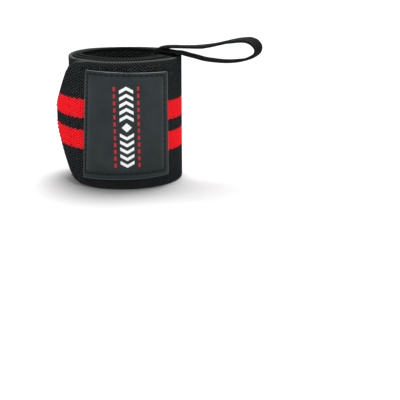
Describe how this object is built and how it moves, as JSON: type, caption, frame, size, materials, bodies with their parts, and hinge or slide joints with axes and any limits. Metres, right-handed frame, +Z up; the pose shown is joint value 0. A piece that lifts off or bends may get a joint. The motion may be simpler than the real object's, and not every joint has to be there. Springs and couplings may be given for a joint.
{
  "type": "rolled wrist wrap",
  "caption": "Elastic wrist support rolled into an upright coil, with a stitched patch, a thumb loop and a hook-backed closing tab.",
  "frame": {"origin": "middle of the whole object's box, on the surface that the roll stands on", "axes": "+Z up along the roll's axis, +X towards the thumb loop's far end, -Y towards the patch at the front"},
  "size_m": [0.1232, 0.0724, 0.0867],
  "materials": {
    "elastic": "black woven elastic with two red stripes, matt, with a fine herringbone of ribs",
    "patch_leather": "dark grey synthetic leather, satin, fine grain, stitched round its edge",
    "tab_leather": "black synthetic leather, satin, fine grain, stitched round its edge",
    "hook_tape": "black hook fastener, matt, rough",
    "loop_tape": "black woven tape, matt, with a rounded selvedge"
  },
  "bodies": {
    "root": {"elastic_band": "elastic", "label_patch": "patch_leather", "hook_tab": "tab_leather", "end_panel": "tab_leather", "hook_pad": "hook_tape", "thumb_loop": "loop_tape"}
  },
  "joints": []
}
